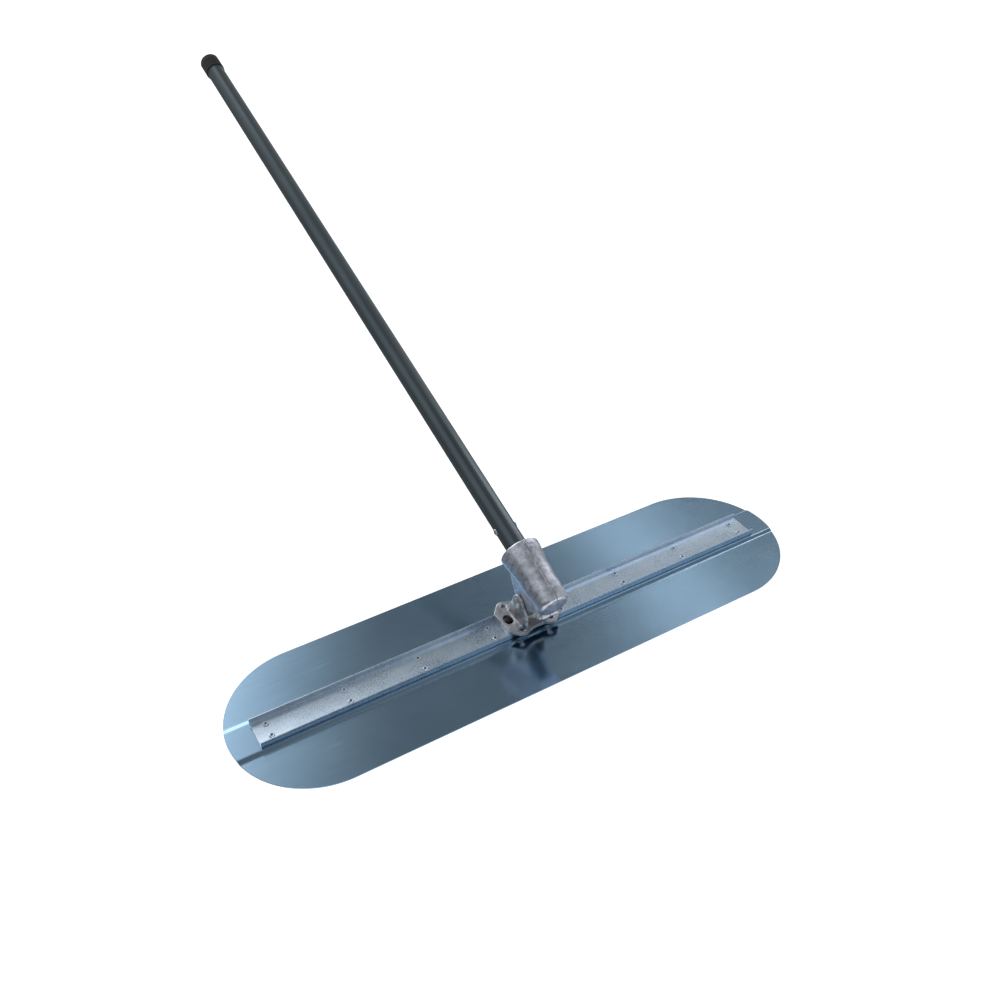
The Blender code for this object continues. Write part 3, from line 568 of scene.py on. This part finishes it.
BASE_BOLT_ACROSS = 0.0100
BASE_BOLT_HEAD = 0.0042
BASE_BOLT_SHANK = 0.0029
for number in (1, 2):
    low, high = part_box(f"base_bolt_{number}")
    middle = (low + high) / 2
    head_low = high.z - BASE_BOLT_HEAD - low.z
    bm = hex_head(BASE_BOLT_ACROSS, head_low, high.z - low.z - 0.0002)
    shank = [(0, 0), (BASE_BOLT_SHANK - 0.0004, 0), (BASE_BOLT_SHANK, 0.0004)]
    shank += [(BASE_BOLT_SHANK, head_low), (0, head_low)]
    turn = Matrix.Rotation(shape_random.uniform(0.1, 0.9), 4, "Z")
    new_piece(f"base_bolt_{number}_forged", joined(bm, turned(shank, 32)), black, "blade_assembly",
              f"base_bolt_{number}", smooth=35,
              placed=Matrix.Translation((middle.x, middle.y, low.z)) @ turn)
    show(f"base_washer_{number}", black, 0.0002)
    show(f"base_nut_{number}", black, 0.0002)

# ---- Gear sector and its pin: a toothed steel segment pinned and bolted between the ears. It
# stands still while the housing walks round it; its sides are ground, its teeth oiled.
ground = Finish("ground steel", 1.0)
stone = ground.noise(1600, 3.0, (1.0, 0.05, 1.0))
oil = ground.noise(45, 3.0)
ground.colour(ground.blend(stone * 0.5 + oil * 0.5, (0.34, 0.36, 0.36), (0.60, 0.62, 0.62)))
ground.roughness(0.20 + stone * 0.12 + oil * 0.16)
ground.relief(stone, 0.15, 0.0002)
show("gear_sector", ground, 0.00025)
show("sector_pin", ground, 0.0002)

# ---- Tilt pivot: a plated hex bolt through both ears, with a washer under its head and nut. It
# clamps on a steel bush, so that the housing stays free to tilt.
plated = Finish("plated steel", 1.0)
passivation = plated.noise(90, 3.0)
lathe = plated.noise(1800, 2.0)
plated.colour(plated.blend(passivation, (0.52, 0.56, 0.54), (0.72, 0.74, 0.70)))
plated.roughness(0.24 + lathe * 0.10 + passivation * 0.12)
plated.relief(lathe, 0.10, 0.0002)
SIDEWAYS = Matrix(((0, 0, 1, 0), (1, 0, 0, 0), (0, 1, 0, 0), (0, 0, 0, 1)))
PIVOT_ACROSS = 0.0130
PIVOT_RADIUS = 0.0040
PIVOT_ROOT = 0.0036  # radius at the bottom of the thread
THREAD_PITCH = 0.00125
bolt_low, bolt_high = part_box("pivot_bolt")
pivot = Vector((0, (bolt_low.y + bolt_high.y) / 2, (bolt_low.z + bolt_high.z) / 2))
head_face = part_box("pivot_washer_left")[0].x - 0.0003
bm = hex_head(PIVOT_ACROSS, -head_face, -bolt_low.x - 0.0001)
tip = -bolt_high.x
shank = [(0, tip), (PIVOT_RADIUS - 0.0006, tip), (PIVOT_RADIUS, tip + 0.0006)]
for thread in range(5):
    start = tip + 0.0008 + thread * THREAD_PITCH
    shank += [(PIVOT_RADIUS, start), (PIVOT_ROOT, start + 0.0006)]
shank += [(PIVOT_RADIUS, tip + 0.0072), (PIVOT_RADIUS, -head_face), (0, -head_face)]
turn = Matrix.Rotation(math.radians(12), 4, "Z")
facing_left = Matrix.Rotation(math.pi, 4, "Y")
new_piece("pivot_bolt_forged", joined(bm, turned(shank, 36)), plated, "blade_assembly",
          "pivot_bolt", smooth=35,
          placed=Matrix.Translation(pivot) @ SIDEWAYS @ facing_left @ turn)
nut_low, nut_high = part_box("pivot_nut")
bm = hex_head(PIVOT_ACROSS, nut_low.x, nut_high.x, PIVOT_RADIUS + 0.0002)
new_piece("pivot_nut_forged", bm, plated, "blade_assembly", "pivot_nut", smooth=35,
          placed=Matrix.Translation(pivot) @ SIDEWAYS)
for node in ("pivot_washer_left", "pivot_washer_right", "pivot_bush"):
    show(node, plated, 0.0002)

# ---- Barrel housing: two aluminium castings that meet on the middle plane, where a fine seam
# shows along the top. They are cooler in tone than the base, with a rounded rim at the mouth.
COOL_TONES = (0.480, 0.490, 0.570), (0.880, 0.880, 0.970), (0.25, 0.290, 0.305)
cool_cast = cast_finish("housing casting", *COOL_TONES)
for side in ("left", "right"):
    softened(f"housing_{side}", cool_cast, 0.0008, 5)

# ---- Housing screws: two plated steel cap screws, one low at the front and one at the back of
# the barrel, pass through bosses on both castings. Small hex nuts clamp the halves together.
for end in ("front", "back"):
    show(f"housing_screw_{end}", plated, 0.0003)
    show(f"housing_nut_{end}", plated, 0.0003)

# ---- Bushes and thrust washer: oil-soaked sintered bronze carries the worm shaft at its lower
# end and the tube at the mouth, and a hardened washer takes the thrust.
bronze = Finish("sintered bronze", 1.0)
pores = bronze.noise(2200, 2.0)
oiled = bronze.noise(140, 3.0)
bronze.colour(bronze.blend(oiled, (0.30, 0.19, 0.08), (0.50, 0.34, 0.17)))
bronze.roughness(0.38 + oiled * 0.20)
bronze.relief(pores, 0.30, 0.0002)
show("lower_bush", bronze, 0.0002)
show("upper_bush", bronze, 0.0002)
show("thrust_washer", ground, 0.0002)

# ---- Worm shaft: a single-start worm cut on a steel shaft, with a plain shank that plugs the
# handle tube. A lock nut holds it against the lower bush. The oiled flanks are polished by use.
show("worm_shaft", ground)
show("worm_lock_nut", plated, 0.0003)

# ---- Handle tube: 1 1/4 in aluminium tube, 48 in long, dark satin coat over drawn grain. Hands
# and dust have dulled it in long faint streaks.
handle_turn = frame["record"]["behaviour"]["joints"][1]
slope = math.atan2(handle_turn["axis"][2], handle_turn["axis"][1])
barrel_middle = Matrix.Translation(handle_turn["pos_m"])
HANDLE_FRAME = barrel_middle @ Matrix.Rotation(slope - math.pi / 2, 4, "X")
COAT_DARK = (0.075, 0.095, 0.104)
COAT_PALE = (0.165, 0.196, 0.216)
tube_coat = Finish("dark satin coat", 0.85)
grain_lines = tube_coat.noise(1500, 3.0, (1.0, 1.0, 0.02))
handled = tube_coat.noise(22, 4.0, (1.0, 1.0, 0.25))
dulled = grain_lines * 0.4 + handled * 0.6
tube_coat.colour(tube_coat.blend(dulled, COAT_DARK, COAT_PALE))
tube_coat.roughness(0.20 + grain_lines * 0.10 + handled * 0.14)
tube_coat.relief(grain_lines, 0.08, 0.0002)
TUBE_RADIUS = 1.25 * 0.0254 / 2
TUBE_WALL = 0.0015
TUBE_START = 0.029
TUBE_END = TUBE_START + 48 * 0.0254
TUBE_BREAK = 0.0003
profile = [(TUBE_RADIUS - TUBE_WALL, TUBE_START), (TUBE_RADIUS - TUBE_BREAK, TUBE_START)]
profile += [(TUBE_RADIUS, TUBE_START + TUBE_BREAK), (TUBE_RADIUS, TUBE_END - TUBE_BREAK)]
profile += [(TUBE_RADIUS - TUBE_BREAK, TUBE_END), (TUBE_RADIUS - TUBE_WALL, TUBE_END)]
new_piece("tube_drawn", turned(profile, 96), tube_coat, "handle", "handle_tube",
          placed=HANDLE_FRAME, smooth=30)

# ---- Handle rivet: a tubular plated rivet crosses tube and shank, its rim rolled over a dimple
# on each side.
RIVET_STATION = 0.088
seat = TUBE_RADIUS - 0.0002
rim = [(0.0028, 0.0), (0.0048, 0.0001), (0.0050, 0.0006), (0.0046, 0.0013), (0.0038, 0.0018)]
rim += [(0.0030, 0.0019), (0.0022, 0.0016), (0.0017, 0.0009), (0.0014, -0.0004), (0.0, -0.0010)]
outer = [(radius, seat + height) for radius, height in rim]
profile = [(radius, -height) for radius, height in outer[::-1]] + outer
across = Matrix.Translation((0, 0, RIVET_STATION)) @ SIDEWAYS
new_piece("tube_rivet", turned(profile, 32), rivet_zinc, "handle", "handle_rivet",
          placed=HANDLE_FRAME @ across, smooth=60)

# ---- Handle cap: a moulded black rubber cap pushed over the tube's end, with shallow ribs round
# its skirt and a rounded end.
rubber = Finish("black rubber", 0.0)
mould_skin = rubber.noise(900, 3.0)
dusty = rubber.noise(60, 3.0)
rubber.colour(rubber.blend(dusty, (0.012, 0.012, 0.013), (0.030, 0.030, 0.031)))
rubber.roughness(0.58 + dusty * 0.20)
rubber.relief(mould_skin, 0.25, 0.0003)
CAP_RADIUS = 0.0178
CAP_BORE = TUBE_RADIUS + 0.0003
CAP_ROUND = 0.003
CAP_SEAT = TUBE_END + 0.0005
GROOVE_PITCH = 0.0042
GROOVE_DEPTH = 0.0006
skirt = TUBE_END - 0.030
profile = [(0, CAP_SEAT), (CAP_BORE, CAP_SEAT), (CAP_BORE, skirt)]
profile += [(CAP_RADIUS - 0.0004, skirt), (CAP_RADIUS, skirt + 0.0005)]
for groove in range(5):
    start = skirt + 0.004 + groove * GROOVE_PITCH
    profile += [(CAP_RADIUS, start), (CAP_RADIUS - GROOVE_DEPTH, start + 0.0006)]
    profile += [(CAP_RADIUS - GROOVE_DEPTH, start + 0.0012), (CAP_RADIUS, start + 0.0018)]
profile += arc(CAP_RADIUS - CAP_ROUND, CAP_SEAT, CAP_ROUND, 0, 90, 8)
profile += [(0, CAP_SEAT + CAP_ROUND)]
bm = turned(profile, 64)
bm.transform(HANDLE_FRAME)
new_piece("cap_moulded", bm, rubber, "handle", "handle_cap", smooth=30)
